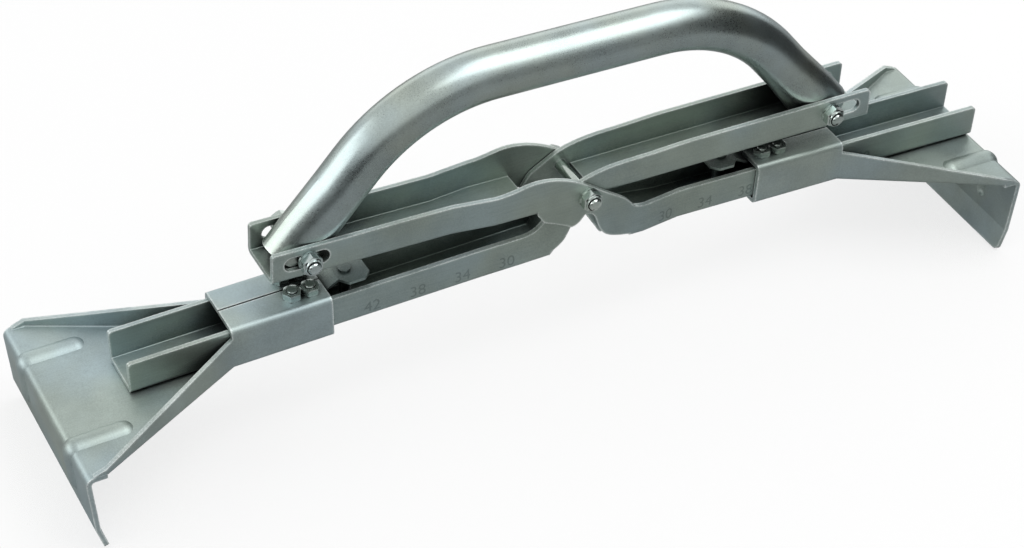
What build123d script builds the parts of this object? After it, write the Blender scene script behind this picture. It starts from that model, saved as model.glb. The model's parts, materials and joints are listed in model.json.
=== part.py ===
# Slab lifting clamp. Two levers of folded sheet cross at one pivot bolt. A bent tube handle runs in slots
# of their upper channels, and a jaw shoe slides along each lower arm and is held there by a spring latch.
# Millimetres, +X along the clamp, +Y to its back, +Z up, origin under the middle of the standing clamp.
from build123d import *
import math
import os

os.makedirs("parts", exist_ok=True)

# Sheet of the levers and shoes
sheet = 2.0
fold_inside = 0.4
corner_round = 1.6
fold_flat = 0.8
measure_tolerance = 0.001

# Clearances
running_gap = 0.05
slide_gap = 0.1
lever_gap = 0.4
shoe_gap = 0.4
leaf_gap = 0.25

# Upper channels of the levers, measured from the pivot along each channel and square to it
channel_length = 137.6
channel_width = 24.0
channel_bottom = -2.7
channel_height = 14.0
channel_tilt = 0.46

# Lower arms, measured in the same way
arm_length = 198.0
arm_width = 23.0
arm_bottom = -27.8
arm_height = 15.0
outer_arm_droop = 0.57
inner_arm_droop = 2.3

# Crossing of the levers: where the channel floors start and where the side walls step sideways
pivot_width = 28.4
outer_floor_start = 23.0
inner_floor_start = 4.8
outer_arm_floor_start = 22.4
inner_arm_floor_start = 15.6
heel_rise = 1.8
outer_joggle = 42.0
inner_joggle = 12.8
arm_joggle = 28.8
joggle_length = 18.0

# Outer lever's plates round the pivot, across and up from the pivot
hump = ((-25.0, 13.9), (-5.4, 8.9), (10.4, -1.6), (20.8, -9.4))
lobe_heel = (-19.6, -7.3)
lobe_belly = (-12.4, -10.5)
lobe_tip = (-6.7, -13.6)
lobe_round = (-4.4, -12.8)
lobe_side = (-2.6, -11.3)
outer_notch = (-0.7, -8.8)
outer_root = ((3.4, -10.6), (5.3, -14.8), (9.2, -21.9), (14.6, -24.6))

# Inner lever's plates round the pivot
shoulder_start = 49.6
shoulder = ((28.0, 10.6), (9.6, 9.5))
inner_top = (-3.6, 5.5)
inner_side = (-12.4, 0.0)
inner_waist = ((-15.9, -4.0), (-18.8, -9.4))
inner_root = ((-16.6, -27.2), (-10.4, -23.1), (-6.5, -17.1))
inner_notch = (-0.4, -9.1)
web_lean = 53.0
tongue_side = (7.4, -21.2)
tongue_tip = (9.4, -22.6)
tongue_back = (11.2, -20.4)

# Handle
tube_diameter = 21.3
tube_wall = 2.0
tube_end_width = 19.5
tube_end_depth = 23.4
tube_oval_at = 6.4
tube_round_at = 27.2
tube_overhang = 6.8
tube_foot = 5.1
tube_foot_angle = 17.5
handle_rise = 57.2
handle_leg_angle = 50.0
handle_bend = 76.0
left_bolt_inset = 15.2
right_bolt_inset = 20.0
bolt_height = 5.3
slot_inset = 5.0
slot_length = 19.2
slot_height = 6.4

# Bolts, lock nuts and washers of the pivot and the handle
bolt_diameter = 5.0
bolt_hex = 8.0
bolt_head = 3.5
bolt_end = 1.0
bolt_end_chamfer = 0.5
nut_hex_height = 3.5
nut_collar_height = 1.1
nut_collar_diameter = 7.2
washer_diameter = 9.0
washer_bore = 5.3
washer_thickness = 1.0

# Shoes
box_length = 42.6
box_fold_inside = 0.8
box_seam = 0.8
flange_drop = 4.8
flare_length = 64.8
flange_end = 2.4
flange_tip = 0.48
flange_tip_fold = 0.24
jaw_strip = 8.8
jaw_width = 95.2
jaw_depth = 38.2
jaw_lean = 3.0
jaw_fold_inside = 1.6
lip_length = 11.0
lip_lean = 12.0
lip_fold_inside = 3.0
lip_corner_round = 2.5
bead_spread = 53.6
bead_width = 8.4
bead_height = 1.6
bead_length = 26.4
bead_drop = 21.5
bead_groove_width = 5.2
bead_groove_depth = 1.4
bead_root = 0.4

# Latch steps along the arms: place of the box's edge nearest to the pivot
first_step = 53.6
step_pitch = 10.0
step_count = 10
left_step_count = 6
right_step_count = 3

# Latch
leaf_width = 16.8
leaf_thickness = 1.2
leaf_root = 17.6
flex_line = 2.1
tongue_length = 19.6
tongue_rise = 3.2
neck_width = 10.4
neck_start = 0.8
neck_length = 5.6
head_width = 17.6
head_corner = 3.2
pin_setback = 11.2
pin_diameter = 4.8
pin_spigot = 3.2
pin_rivet_diameter = 5.1
pin_rivet_height = 0.8
pin_point = 1.0
pin_hole_diameter = 5.6
pin_lift = 0.24
screw_diameter = 4.0
screw_hole_gap = 0.15
screw_head_diameter = 7.0
screw_head_height = 2.4
screw_first = 6.0
screw_pitch = 7.6
screw_spread = 11.2
screw_end = 0.8
small_nut_hex = 7.0
small_nut_height = 3.2

# Sizes that follow from those above
channel_top = channel_bottom + channel_height
arm_top = arm_bottom + arm_height
channel_half = channel_width / 2
arm_half = arm_width / 2
outer_half = pivot_width / 2
inner_half = outer_half - sheet - lever_gap
hem = fold_inside + sheet + fold_flat
left_bolt_at = channel_length - left_bolt_inset
right_bolt_at = channel_length - right_bolt_inset
slot_start = channel_length - slot_inset - slot_length
bolt_hole = bolt_diameter / 2 + running_gap
nut_height = nut_hex_height + nut_collar_height
box_half = arm_half + shoe_gap + sheet
box_top_inside = arm_top + shoe_gap
box_top = box_top_inside + sheet
plate_top = arm_bottom - shoe_gap
box_bottom = plate_top - sheet
jaw_half = jaw_width / 2
jaw_reach = box_length + flare_length + jaw_strip
jaw_fold = jaw_fold_inside + sheet
lean = math.radians(jaw_lean)
lip_angle = math.radians(jaw_lean + lip_lean)
lip_fold = lip_fold_inside + sheet
left_edge = first_step + left_step_count * step_pitch
right_edge = first_step + right_step_count * step_pitch
leaf_bottom = box_top_inside - leaf_thickness
tongue_low = leaf_bottom - leaf_gap
screw_hole = screw_diameter / 2 + screw_hole_gap
LEFT = -1
RIGHT = 1


# Point of a channel or arm in the clamp's own level frame, which has its origin at the pivot
def level_point(side, tilt, along, height):
    angle = math.radians(tilt)
    x = along * math.cos(angle) - height * math.sin(angle)
    z = along * math.sin(angle) + height * math.cos(angle)
    return side * x, z


# Bend of a jaw's lip at a depth under its outer face, along the arm and square to it
def lip_bend(edge, depth):
    mean = (lean + lip_angle) / 2
    inward = depth / math.cos((lip_angle - lean) / 2)
    along = edge + jaw_reach - (jaw_depth - lip_length) * math.sin(lean) - inward * math.cos(mean)
    height = plate_top - (jaw_depth - lip_length) * math.cos(lean) + inward * math.sin(mean)
    return along, height


# Foot of a jaw's lip at a depth under its outer face, in the same terms
def jaw_foot(edge, depth):
    along, height = lip_bend(edge, 0)
    along -= lip_length * math.sin(lip_angle) + depth * math.cos(lip_angle)
    height -= lip_length * math.cos(lip_angle) - depth * math.sin(lip_angle)
    return along, height


# Corner of the jaw's bend at a depth under its outer faces, in the same terms
def jaw_corner(edge, depth):
    along = edge + jaw_reach - depth * (1 + math.sin(lean)) / math.cos(lean)
    return along, plate_top - depth


# The clamp stands on both jaws: the turn that levels their feet, and the pivot's place over the floor
left_foot = level_point(LEFT, -inner_arm_droop, *jaw_foot(left_edge, 0))
right_foot = level_point(RIGHT, -outer_arm_droop, *jaw_foot(right_edge, 0))
left_bend = level_point(LEFT, -inner_arm_droop, *jaw_corner(left_edge, jaw_fold))
right_bend = level_point(RIGHT, -outer_arm_droop, *jaw_corner(right_edge, jaw_fold))
stand_turn = math.atan2(right_foot[1] - left_foot[1], right_foot[0] - left_foot[0])
turn_cos = math.cos(stand_turn)
turn_sin = math.sin(stand_turn)
bend_reach = jaw_fold + bead_height
left_end = left_bend[0] * turn_cos + left_bend[1] * turn_sin - bend_reach
right_end = right_bend[0] * turn_cos + right_bend[1] * turn_sin + bend_reach
pivot_x = -(left_end + right_end) / 2
pivot_z = left_foot[0] * turn_sin - left_foot[1] * turn_cos
pivot = Vector(pivot_x, 0, pivot_z)


# Frame of a channel or arm: x outward along it, z square to it and up
def run_frame(side, tilt):
    angle = math.radians(tilt) - side * stand_turn
    outward = (side * math.cos(angle), 0, math.sin(angle))
    upward = (-side * math.sin(angle), 0, math.cos(angle))
    return Plane(origin=pivot, x_dir=outward, z_dir=upward)


# Plane across a frame at a distance along it, with x across and y up
def across(frame, along):
    origin = frame.from_local_coords(Vector(along, 0, 0))
    return Plane(origin=origin, x_dir=frame.y_dir, z_dir=frame.x_dir)


# Plane of a frame's side view, with x along it and y up
def beside(frame, sideways=0):
    origin = frame.from_local_coords(Vector(0, sideways, 0))
    return Plane(origin=origin, x_dir=frame.x_dir, z_dir=frame.y_dir * -1)


front = Plane(origin=pivot, x_dir=(turn_cos, 0, -turn_sin), z_dir=(0, -1, 0))
outer_channel = run_frame(LEFT, channel_tilt)
inner_channel = run_frame(RIGHT, channel_tilt)
outer_arm = run_frame(RIGHT, -outer_arm_droop)
inner_arm = run_frame(LEFT, -inner_arm_droop)
left_bolt_place = outer_channel.from_local_coords(Vector(left_bolt_at, 0, bolt_height))
right_bolt_place = inner_channel.from_local_coords(Vector(right_bolt_at, 0, bolt_height))
latch_holes = [(first_step - pin_setback + step * step_pitch, 0) for step in range(step_count)]


# Folded channel section, open at the top
def channel_section(half, bottom, top, inside_radius):
    inner = half - sheet
    floor = bottom + sheet
    outside_radius = inside_radius + sheet
    with BuildSketch() as section:
        with BuildLine():
            FilletPolyline(
                (-half, top),
                (-half, bottom),
                (half, bottom),
                (half, top),
                (inner, top),
                (inner, floor),
                (-inner, floor),
                (-inner, top),
                radius=(0, outside_radius, outside_radius, 0, 0, inside_radius, inside_radius, 0),
                close=True,
            )
        make_face()
    return section.sketch


# Stations of a channel or arm: distance from the pivot and half width
def run_stations(floor_start, joggle, length, pivot_half, end_half):
    return (
        (floor_start, pivot_half),
        (joggle, pivot_half),
        (joggle + joggle_length, end_half),
        (length, end_half),
    )


# Short edges across the flange tops at both ends of a lever
def flange_ends(lever):
    crosswise = lever.edges().filter_by(Axis.Y)
    tops = crosswise.filter_by(lambda edge: abs(edge.length - sheet) < measure_tolerance)
    ordered = tops.sort_by(Axis.X)
    return ordered[:2] + ordered[-2:]


# Outer lever: left channel, plates outside at the pivot, right arm
channel_out = level_point(LEFT, channel_tilt, outer_joggle, channel_top)
channel_hem_out = level_point(LEFT, channel_tilt, outer_joggle, channel_bottom + hem)
channel_hem_in = level_point(LEFT, channel_tilt, outer_floor_start, channel_bottom + hem)
channel_heel = level_point(LEFT, channel_tilt, outer_floor_start, channel_bottom)
arm_out = level_point(RIGHT, -outer_arm_droop, arm_joggle, arm_top)
arm_hem_out = level_point(RIGHT, -outer_arm_droop, arm_joggle, arm_bottom + hem)
arm_hem_in = level_point(RIGHT, -outer_arm_droop, outer_arm_floor_start, arm_bottom + hem)
arm_heel = level_point(RIGHT, -outer_arm_droop, outer_arm_floor_start, arm_bottom + heel_rise)
from_channel = level_point(LEFT, channel_tilt, -1, 0)
to_arm = level_point(RIGHT, -outer_arm_droop, 1, 0)

with BuildSketch() as outer_plate:
    with BuildLine():
        Spline(channel_out, *hump, arm_out, tangents=(from_channel, to_arm))
        Polyline(arm_out, arm_hem_out, arm_hem_in, arm_heel)
        Spline(arm_heel, *reversed(outer_root), outer_notch)
        Line(outer_notch, lobe_side)
        ThreePointArc(lobe_side, lobe_round, lobe_tip)
        Spline(lobe_tip, lobe_belly, lobe_heel)
        Polyline(lobe_heel, channel_heel, channel_hem_in, channel_hem_out, channel_out)
    make_face()
    Circle(bolt_hole, mode=Mode.SUBTRACT)

with BuildPart() as outer_lever:
    stations = run_stations(outer_floor_start, outer_joggle, channel_length, outer_half, channel_half)
    for along, half in stations:
        with BuildSketch(across(outer_channel, along)):
            add(channel_section(half, channel_bottom, channel_top, fold_inside))
    loft(ruled=True)
    stations = run_stations(outer_arm_floor_start, arm_joggle, arm_length, outer_half, arm_half)
    for along, half in stations:
        with BuildSketch(across(outer_arm, along)):
            add(channel_section(half, arm_bottom, arm_top, fold_inside))
    loft(ruled=True)
    for place in (outer_half - sheet, -outer_half):
        with BuildSketch(front.offset(place)):
            add(outer_plate.sketch)
        extrude(amount=sheet)
    fillet(flange_ends(outer_lever), corner_round)
    with BuildSketch(beside(outer_channel)):
        with Locations((slot_start + slot_length / 2, bolt_height)):
            SlotOverall(slot_length, slot_height)
    extrude(amount=channel_width, both=True, mode=Mode.SUBTRACT)
    with BuildSketch(outer_arm.offset(arm_bottom)):
        with Locations(latch_holes):
            Circle(pin_hole_diameter / 2)
    extrude(amount=sheet, both=True, mode=Mode.SUBTRACT)

outer_lever.part.label = "outer_lever"
export_step(outer_lever.part, "parts/outer_lever.step")

# Inner lever: right channel, plates nested inside at the pivot, left arm
channel_out = level_point(RIGHT, channel_tilt, inner_joggle, channel_top)
channel_hem_out = level_point(RIGHT, channel_tilt, inner_joggle, channel_bottom + hem)
channel_hem_in = level_point(RIGHT, channel_tilt, inner_floor_start, channel_bottom + hem)
channel_heel = level_point(RIGHT, channel_tilt, inner_floor_start, channel_bottom)
arm_out = level_point(LEFT, -inner_arm_droop, arm_joggle, arm_top)
arm_hem_out = level_point(LEFT, -inner_arm_droop, arm_joggle, arm_bottom + hem)
arm_hem_in = level_point(LEFT, -inner_arm_droop, inner_arm_floor_start, arm_bottom + hem)
arm_heel = level_point(LEFT, -inner_arm_droop, inner_arm_floor_start, arm_bottom + heel_rise)
to_arm = level_point(LEFT, -inner_arm_droop, 1, 0)
side_slope = (inner_side[0] - inner_top[0], inner_side[1] - inner_top[1])
shoulder_out = level_point(RIGHT, channel_tilt, shoulder_start, channel_top)
shoulder_slope = level_point(RIGHT, channel_tilt, -1, 0)
above_top = (inner_top[0], channel_out[1])
above_shoulder = shoulder_out[1] + channel_height

with BuildSketch() as inner_plate:
    with BuildLine():
        Polyline(channel_hem_out, channel_out, above_top, inner_top, inner_side)
        Spline(inner_side, *inner_waist, arm_out, tangents=(side_slope, to_arm))
        Polyline(arm_out, arm_hem_out, arm_hem_in, arm_heel)
        Spline(arm_heel, *inner_root, inner_notch)
        Line(inner_notch, tongue_side)
        ThreePointArc(tongue_side, tongue_tip, tongue_back)
        Polyline(tongue_back, channel_heel, channel_hem_in, channel_hem_out)
    make_face()
    Circle(bolt_hole, mode=Mode.SUBTRACT)

# Web of the inner lever: the arm's floor goes on up the rounded root of the plates
web_low = level_point(LEFT, -inner_arm_droop, inner_arm_floor_start, arm_bottom)
web_high = level_point(LEFT, -inner_arm_droop, inner_arm_floor_start, arm_bottom + sheet)
web_step = (-sheet * math.sin(math.radians(web_lean)), sheet * math.cos(math.radians(web_lean)))
web_under = inner_root[1:]
web_over = [(x + web_step[0], z + web_step[1]) for x, z in web_under]

with BuildSketch() as inner_web:
    with BuildLine():
        Spline(web_low, *web_under)
        Spline(web_high, *web_over)
        Line(web_low, web_high)
        Line(web_under[-1], web_over[-1])
    make_face()

with BuildPart() as inner_lever:
    stations = run_stations(inner_floor_start, inner_joggle, channel_length, inner_half, channel_half)
    for along, half in stations:
        with BuildSketch(across(inner_channel, along)):
            add(channel_section(half, channel_bottom, channel_top, fold_inside))
    loft(ruled=True)
    stations = run_stations(inner_arm_floor_start, arm_joggle, arm_length, inner_half, arm_half)
    for along, half in stations:
        with BuildSketch(across(inner_arm, along)):
            add(channel_section(half, arm_bottom, arm_top, fold_inside))
    loft(ruled=True)
    for place in (inner_half - sheet, -inner_half):
        with BuildSketch(front.offset(place)):
            add(inner_plate.sketch)
        extrude(amount=sheet)
    with BuildSketch(front):
        add(inner_web.sketch)
    extrude(amount=inner_half - sheet / 2, both=True)
    fillet(flange_ends(inner_lever), corner_round)
    with BuildSketch(front):
        with BuildLine():
            Spline(shoulder_out, *shoulder, inner_top, tangents=(shoulder_slope, side_slope))
            Polyline(
                inner_top,
                (inner_top[0], above_shoulder),
                (shoulder_out[0], above_shoulder),
                shoulder_out,
            )
        make_face()
    extrude(amount=channel_width, both=True, mode=Mode.SUBTRACT)
    with BuildSketch(beside(inner_channel)):
        with Locations((slot_start + slot_length / 2, bolt_height)):
            SlotOverall(slot_length, slot_height)
    extrude(amount=channel_width, both=True, mode=Mode.SUBTRACT)
    with BuildSketch(inner_arm.offset(arm_bottom)):
        with Locations(latch_holes):
            Circle(pin_hole_diameter / 2)
    extrude(amount=sheet, both=True, mode=Mode.SUBTRACT)

inner_lever.part.label = "inner_lever"
export_step(inner_lever.part, "parts/inner_lever.step")


# Bolt, lock nut and washers through two walls whose outer faces are `half` from the middle
def bolt_plane(place):
    return Plane(origin=place, x_dir=(1, 0, 0), z_dir=(0, -1, 0))


def through_bolt(place, half):
    seat = half + washer_thickness
    with BuildPart() as bolt:
        with BuildSketch(bolt_plane(place).offset(-seat - bolt_head)):
            RegularPolygon(bolt_hex / 2, 6, major_radius=False)
        extrude(amount=bolt_head)
        with BuildSketch(bolt_plane(place).offset(-seat)):
            Circle(bolt_diameter / 2)
        extrude(amount=2 * seat + nut_height + bolt_end)
        chamfer(bolt.faces().sort_by(Axis.Y)[0].edges(), bolt_end_chamfer)
    return bolt


def lock_nut(place, half):
    seat = half + washer_thickness
    with BuildPart() as nut:
        with BuildSketch(bolt_plane(place).offset(seat)):
            RegularPolygon(bolt_hex / 2, 6, major_radius=False)
            Circle(bolt_hole, mode=Mode.SUBTRACT)
        extrude(amount=nut_hex_height)
        with BuildSketch(bolt_plane(place).offset(seat + nut_hex_height)):
            Circle(nut_collar_diameter / 2)
            Circle(bolt_hole, mode=Mode.SUBTRACT)
        extrude(amount=nut_collar_height)
    return nut


def washer_pair(place, half):
    with BuildPart() as washers:
        for start in (half, -half - washer_thickness):
            with BuildSketch(bolt_plane(place).offset(start)):
                Circle(washer_diameter / 2)
                Circle(washer_bore / 2, mode=Mode.SUBTRACT)
            extrude(amount=washer_thickness)
    return washers


bolted = {
    "pivot": (pivot, outer_half),
    "left_handle": (left_bolt_place, channel_half + slide_gap),
    "right_handle": (right_bolt_place, channel_half + slide_gap),
}
for name, (place, half) in bolted.items():
    bolt = through_bolt(place, half)
    bolt.part.label = f"{name}_bolt"
    export_step(bolt.part, f"parts/{name}_bolt.step")
    nut = lock_nut(place, half)
    nut.part.label = f"{name}_nut"
    export_step(nut.part, f"parts/{name}_nut.step")
    washers = washer_pair(place, half)
    washers.part.label = f"{name}_washers"
    export_step(washers.part, f"parts/{name}_washers.step")

# Handle: frame from the left bolt to the right one, with the tube bent in its side view
span_vector = right_bolt_place - left_bolt_place
handle_span = span_vector.length
handle_axis = span_vector.normalized()
handle = Plane(origin=left_bolt_place, x_dir=handle_axis, z_dir=(-handle_axis.Z, 0, handle_axis.X))
leg_angle = math.radians(handle_leg_angle)
leg_inset = handle_rise / math.tan(leg_angle)


# Point of a leg at a distance from its bolt, and the plane across the leg there
def leg_point(side, distance):
    inset = distance * math.cos(leg_angle)
    return (inset if side == LEFT else handle_span - inset), distance * math.sin(leg_angle)


def leg_plane(side, distance):
    along, height = leg_point(side, distance)
    upward = Vector(-side * math.cos(leg_angle), 0, math.sin(leg_angle))
    origin = handle.from_local_coords(Vector(along, 0, height))
    return Plane(origin=origin, x_dir=handle.y_dir, z_dir=handle.from_local_coords(upward) - handle.origin)


with BuildPart() as handle_tube:
    for inset, mode in ((0, Mode.ADD), (tube_wall, Mode.SUBTRACT)):
        with BuildLine(beside(handle)):
            FilletPolyline(
                leg_point(LEFT, tube_round_at),
                (leg_inset, handle_rise),
                (handle_span - leg_inset, handle_rise),
                leg_point(RIGHT, tube_round_at),
                radius=handle_bend,
            )
        with BuildSketch(leg_plane(LEFT, tube_round_at)):
            Circle(tube_diameter / 2 - inset)
        sweep(mode=mode)
        for side in (LEFT, RIGHT):
            with BuildSketch(leg_plane(side, tube_round_at)):
                Circle(tube_diameter / 2 - inset)
            with BuildSketch(leg_plane(side, tube_oval_at)):
                Ellipse(tube_end_width / 2 - inset, tube_end_depth / 2 - inset)
            loft(mode=mode)
            with BuildSketch(leg_plane(side, tube_oval_at)):
                Ellipse(tube_end_width / 2 - inset, tube_end_depth / 2 - inset)
            extrude(amount=-tube_oval_at - tube_overhang, mode=mode)
    foot_reach = tube_end_depth * 2
    foot_climb = foot_reach * math.tan(math.radians(tube_foot_angle))
    for side in (LEFT, RIGHT):
        centre = 0 if side == LEFT else handle_span
        with BuildSketch(beside(handle)):
            with BuildLine():
                Polyline(
                    (centre, -tube_foot),
                    (centre - side * foot_reach, -tube_foot),
                    (centre - side * foot_reach, -foot_reach),
                    (centre + side * foot_reach, -foot_reach),
                    (centre + side * foot_reach, -tube_foot + foot_climb),
                    close=True,
                )
            make_face()
        extrude(amount=tube_diameter, both=True, mode=Mode.SUBTRACT)
    with BuildSketch(beside(handle)):
        with Locations((0, 0), (handle_span, 0)):
            Circle(bolt_hole)
    extrude(amount=tube_diameter, both=True, mode=Mode.SUBTRACT)

handle_tube.part.label = "handle_tube"
export_step(handle_tube.part, "parts/handle_tube.step")


# Pressed bead: a round ridge over a surface, with its root sunk below that surface
def bead_section(width, height):
    radius = (width ** 2 / 4 + height ** 2) / (2 * height)
    root_half = math.sqrt(radius ** 2 - (radius - height - bead_root) ** 2)
    with BuildSketch() as section:
        with BuildLine():
            ThreePointArc((-root_half, -bead_root), (0, height), (root_half, -bead_root))
            Line((root_half, -bead_root), (-root_half, -bead_root))
        make_face()
    return section.sketch


# Bead round the bend of a jaw, along a line at a depth under its outer faces, with round ends
def bend_bead(frame, edge, sideways, depth, fold, width, height):
    straight = bead_length - bead_width / 2
    drop = bead_drop - bead_width / 2
    corner = jaw_corner(edge, depth)
    start = (edge + jaw_reach - straight, corner[1])
    end = (corner[0] - drop * math.sin(lean), corner[1] - drop * math.cos(lean))
    start_plane = Plane(
        origin=frame.from_local_coords(Vector(start[0], sideways, start[1])),
        x_dir=frame.y_dir,
        z_dir=frame.x_dir,
    )
    end_plane = Plane(
        origin=frame.from_local_coords(Vector(end[0], sideways, end[1])),
        x_dir=frame.y_dir,
        z_dir=frame.from_local_coords(Vector(-math.sin(lean), 0, -math.cos(lean))) - frame.origin,
    )
    with BuildPart() as bead:
        with BuildLine(beside(frame, sideways)):
            FilletPolyline(start, corner, end, radius=fold)
        with BuildSketch(start_plane):
            add(bead_section(width, height))
        sweep()
        for plane, turn in ((start_plane, 180), (end_plane, -180)):
            with BuildSketch(plane):
                add(bead_section(width, height))
                with Locations((-width, 0)):
                    Rectangle(2 * width, 2 * width, mode=Mode.SUBTRACT)
            revolve(axis=Axis(plane.origin, plane.y_dir), revolution_arc=turn)
    return bead.part


# Shoe: box round the arm, flared base plate with side flanges, and jaw plate with two beads
def jaw_shoe(frame, edge):
    flare_start = edge + box_length
    strip_start = flare_start + flare_length
    bend_start = edge + jaw_reach - jaw_fold
    foot_middle = jaw_foot(edge, sheet / 2)
    with BuildPart() as shoe:
        with BuildSketch(across(frame, edge)):
            with Locations((0, (box_top + box_bottom) / 2)):
                RectangleRounded(2 * box_half, box_top - box_bottom, box_fold_inside + sheet)
                RectangleRounded(
                    2 * (box_half - sheet),
                    box_top_inside - plate_top,
                    box_fold_inside,
                    mode=Mode.SUBTRACT,
                )
            with Locations((0, box_top)):
                Rectangle(box_seam, 3 * sheet, mode=Mode.SUBTRACT)
        extrude(amount=box_length)
        with BuildSketch(frame.offset(box_top)):
            with Locations(screw_places(edge)):
                Circle(screw_hole)
        extrude(amount=-2 * sheet, mode=Mode.SUBTRACT)
        with BuildSketch(across(frame, flare_start)):
            add(channel_section(box_half, box_bottom, box_top - flange_drop, box_fold_inside))
        with BuildSketch(across(frame, strip_start)):
            add(channel_section(jaw_half, box_bottom, plate_top + flange_end, box_fold_inside))
        with BuildSketch(across(frame, bend_start)):
            add(channel_section(jaw_half, box_bottom, plate_top + flange_tip, flange_tip_fold))
        loft(ruled=True)
        with BuildSketch(beside(frame)):
            with BuildLine():
                FilletPolyline(
                    (strip_start, plate_top),
                    jaw_corner(edge, 0),
                    lip_bend(edge, 0),
                    jaw_foot(edge, 0),
                    jaw_foot(edge, sheet),
                    lip_bend(edge, sheet),
                    jaw_corner(edge, sheet),
                    (strip_start, box_bottom),
                    radius=(0, jaw_fold, lip_fold, 0, 0, lip_fold_inside, jaw_fold_inside, 0),
                    close=True,
                )
            make_face()
        extrude(amount=jaw_half, both=True)
        for side in (LEFT, RIGHT):
            corner = frame.from_local_coords(Vector(foot_middle[0], side * jaw_half, foot_middle[1]))
            fillet(shoe.edges().sort_by_distance(corner)[0], lip_corner_round)
        for sideways in (-bead_spread / 2, bead_spread / 2):
            add(bend_bead(frame, edge, sideways, 0, jaw_fold, bead_width, bead_height))
            groove = (sheet, jaw_fold_inside, bead_groove_width, bead_groove_depth)
            add(bend_bead(frame, edge, sideways, *groove), mode=Mode.SUBTRACT)
    return shoe


# Places of the latch screws in the plane of an arm
def screw_places(edge):
    rows = (edge + screw_first, edge + screw_first + screw_pitch)
    return [(along, sideways) for along in rows for sideways in (-screw_spread / 2, screw_spread / 2)]


# Latch: bolted root of the spring leaf, its free tongue, and the pin under the tongue
def latch_leaf(frame, edge):
    with BuildPart() as leaf:
        with BuildSketch(frame.offset(leaf_bottom)):
            with Locations((edge + (flex_line + leaf_root) / 2, 0)):
                Rectangle(leaf_root - flex_line, leaf_width)
            with Locations(screw_places(edge)):
                Circle(screw_hole, mode=Mode.SUBTRACT)
        extrude(amount=leaf_thickness)
    return leaf


def latch_tongue(frame, edge):
    inner_end = edge + flex_line - leaf_gap
    rise_start = edge - neck_start
    head_start = rise_start - neck_length
    head_end = edge - tongue_length
    with BuildPart() as tongue:
        with BuildSketch(beside(frame)):
            with BuildLine():
                Polyline(
                    (inner_end, tongue_low),
                    (rise_start, tongue_low),
                    (head_start, tongue_low + tongue_rise),
                    (head_end, tongue_low + tongue_rise),
                    (head_end, tongue_low + tongue_rise + leaf_thickness),
                    (head_start, tongue_low + tongue_rise + leaf_thickness),
                    (rise_start, tongue_low + leaf_thickness),
                    (inner_end, tongue_low + leaf_thickness),
                    close=True,
                )
            make_face()
        extrude(amount=head_width / 2, both=True)
        with BuildSketch(frame.offset(tongue_low)):
            with BuildLine():
                Polyline(
                    (inner_end, neck_width / 2),
                    (head_start, neck_width / 2),
                    (head_start - head_corner, head_width / 2),
                    (head_end + head_corner, head_width / 2),
                    (head_end, head_width / 2 - head_corner),
                    (head_end, head_corner - head_width / 2),
                    (head_end + head_corner, -head_width / 2),
                    (head_start - head_corner, -head_width / 2),
                    (head_start, -neck_width / 2),
                    (inner_end, -neck_width / 2),
                    close=True,
                )
            make_face()
        extrude(amount=tongue_rise + leaf_thickness, mode=Mode.INTERSECT)
        with BuildSketch(frame.offset(tongue_low)):
            with Locations((edge - pin_setback, 0)):
                Circle(pin_spigot / 2 + running_gap)
        extrude(amount=tongue_rise + leaf_thickness, mode=Mode.SUBTRACT)
    return tongue


def latch_pin(frame, edge):
    bottom = arm_bottom + sheet + pin_lift
    shoulder_height = tongue_low + tongue_rise
    rivet_height = shoulder_height + leaf_thickness
    steps = (
        (pin_diameter, bottom, shoulder_height),
        (pin_spigot, shoulder_height, rivet_height),
        (pin_rivet_diameter, rivet_height, rivet_height + pin_rivet_height),
    )
    with BuildPart() as pin:
        for diameter, low, high in steps:
            with BuildSketch(frame.offset(low)):
                with Locations((edge - pin_setback, 0)):
                    Circle(diameter / 2)
            extrude(amount=high - low)
        chamfer(pin.faces().sort_by(Axis(frame.origin, frame.z_dir))[0].edges(), pin_point)
    return pin


# Latch screws with their heads under the leaf, and the small nuts on the box
def latch_screws(frame, edge):
    with BuildPart() as screws:
        with BuildSketch(frame.offset(leaf_bottom - screw_head_height)):
            with Locations(screw_places(edge)):
                Circle(screw_head_diameter / 2)
        extrude(amount=screw_head_height)
        with BuildSketch(frame.offset(leaf_bottom)):
            with Locations(screw_places(edge)):
                Circle(screw_diameter / 2)
        extrude(amount=box_top + small_nut_height + screw_end - leaf_bottom)
    return screws


def latch_nuts(frame, edge):
    with BuildPart() as nuts:
        with BuildSketch(frame.offset(box_top)):
            with Locations(screw_places(edge)):
                RegularPolygon(small_nut_hex / 2, 6, major_radius=False, rotation=30)
                Circle(screw_hole, mode=Mode.SUBTRACT)
        extrude(amount=small_nut_height)
    return nuts


shoe_pieces = {
    "shoe": jaw_shoe,
    "latch_leaf": latch_leaf,
    "latch_tongue": latch_tongue,
    "latch_pin": latch_pin,
    "latch_screws": latch_screws,
    "latch_nuts": latch_nuts,
}
for side, frame, edge in (("left", inner_arm, left_edge), ("right", outer_arm, right_edge)):
    for name, make in shoe_pieces.items():
        piece = make(frame, edge)
        piece.part.label = f"{side}_{name}"
        export_step(piece.part, f"parts/{side}_{name}.step")

print("pivot", pivot)
print("left bolt", left_bolt_place, "right bolt", right_bolt_place)
for name, frame in (
    ("outer channel", outer_channel),
    ("inner channel", inner_channel),
    ("outer arm", outer_arm),
    ("inner arm", inner_arm),
):
    print(name, "along", frame.x_dir, "up", frame.z_dir)
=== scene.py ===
"""Slab lifting clamp: zinc finishes, detailed fasteners, stamped scale numbers and a plain studio."""

import json
import math

import bmesh
import bpy
from bpy.props import FloatProperty, FloatVectorProperty, IntProperty, PointerProperty
from mathutils import Matrix, Vector
from mathutils.bvhtree import BVHTree


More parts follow.
